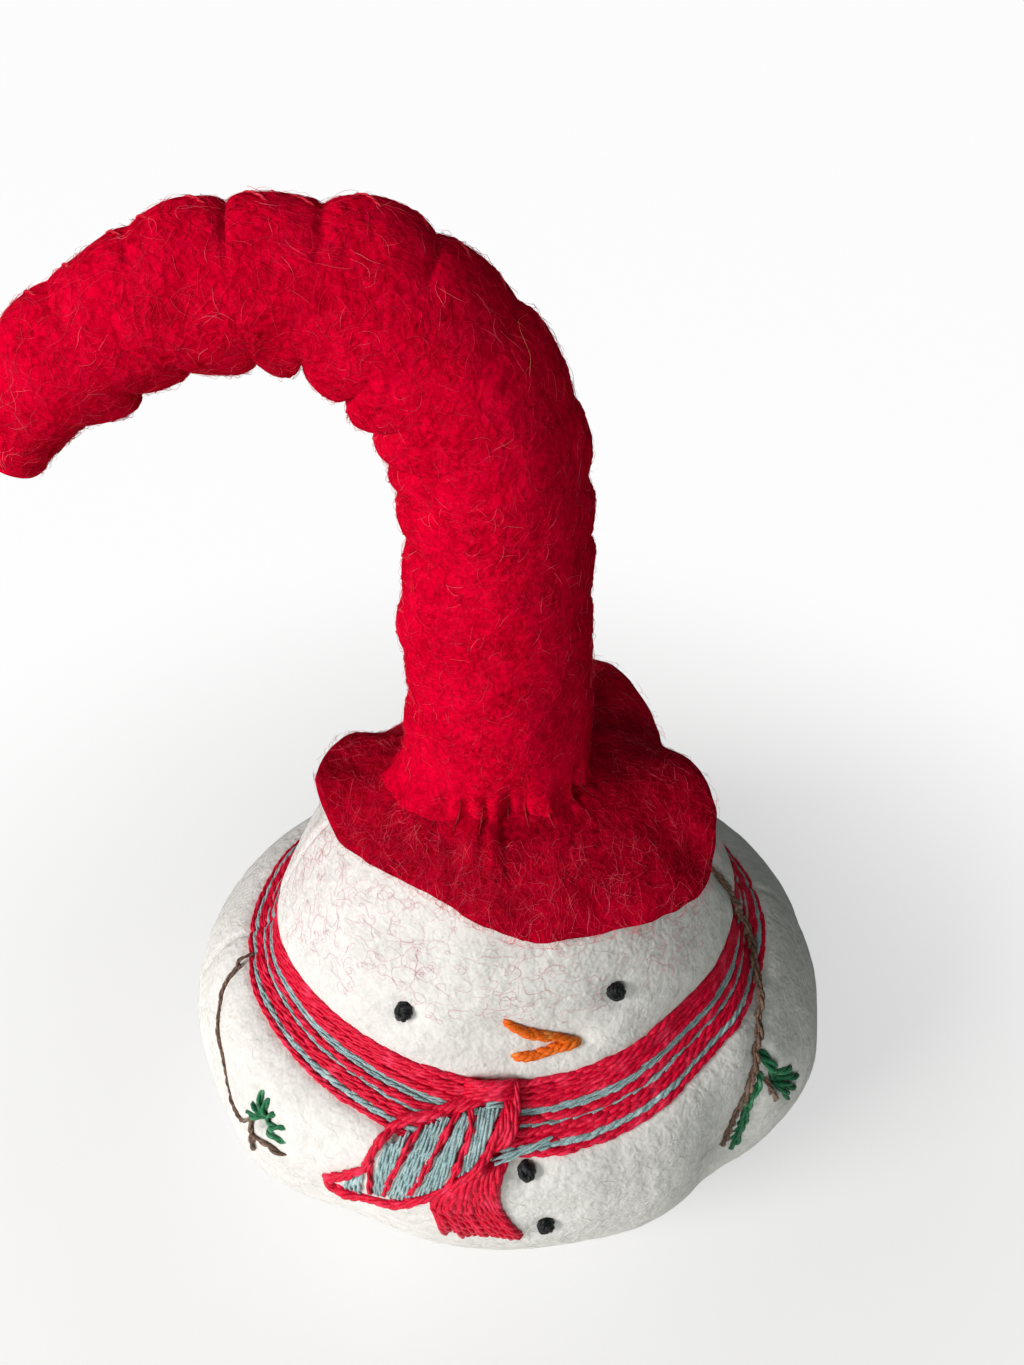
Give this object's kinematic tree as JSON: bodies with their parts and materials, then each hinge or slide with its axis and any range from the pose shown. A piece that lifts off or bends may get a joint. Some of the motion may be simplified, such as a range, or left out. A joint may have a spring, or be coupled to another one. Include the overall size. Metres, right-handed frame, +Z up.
{
  "type": "stuffed felt snowman figure",
  "caption": "Small stuffed wool-felt snowman with an embroidered scarf, twig arms and a tall red felt hat whose crown is bent over in a crook; stands free.",
  "frame": {"origin": "centre of the flat base, on the surface that the snowman stands on", "axes": "+Z up; the face looks towards -Y; the crook of the hat hangs over towards -X"},
  "size_m": [0.0779, 0.062, 0.1089],
  "materials": {
    "white_felt": "matt, fuzzy wool felt",
    "red_felt": "matt, fuzzy wool felt",
    "red_thread": "soft sheen, stranded cotton",
    "pale_thread": "soft sheen, stranded cotton",
    "black_thread": "soft sheen, stranded cotton",
    "orange_thread": "soft sheen, stranded cotton",
    "green_thread": "soft sheen, stranded cotton",
    "brown_thread": "soft sheen, stranded cotton",
    "white_thread": "soft sheen, cotton",
    "fibre_filling": "loose fibre",
    "card": "plain card",
    "pellets": "plastic pellets in a muslin bag"
  },
  "bodies": {
    "root": {"back_panel": "white_felt", "back_tail": "red_thread", "base_card": "card", "base_disc": "white_felt", "base_seam_stitches": "white_thread", "body_stuffing": "fibre_filling", "brim_tacks": "red_thread", "crown_back_panel": "red_felt", "crown_front_panel": "red_felt", "crown_gathers": "red_thread", "crown_inner_seam_stitches": "red_thread", "crown_outer_seam_stitches": "red_thread", "crown_stuffing": "fibre_filling", "front_panel": "white_felt", "front_tail_outline": "red_thread", "front_tail_pale_bars": "pale_thread", "front_tail_red_lines": "red_thread", "hat_brim": "red_felt", "left_arm": "brown_thread", "left_eye_knot": "black_thread", "left_fir_sprig": "green_thread", "left_hand_twigs": "brown_thread", "lower_button_knot": "black_thread", "nose_stitches": "orange_thread", "pellet_bag": "pellets", "right_arm": "brown_thread", "right_eye_knot": "black_thread", "right_fir_sprig": "green_thread", "right_hand_twigs": "brown_thread", "scarf_bottom_red_line": "red_thread", "scarf_knot": "red_thread", "scarf_lower_pale_row": "pale_thread", "scarf_middle_red_row": "red_thread", "scarf_thin_pale_line": "pale_thread", "scarf_top_red_row": "red_thread", "scarf_upper_pale_row": "pale_thread", "scarf_upper_red_line": "red_thread", "side_seam_stitches": "white_thread", "upper_button_knot": "black_thread"}
  },
  "joints": []
}
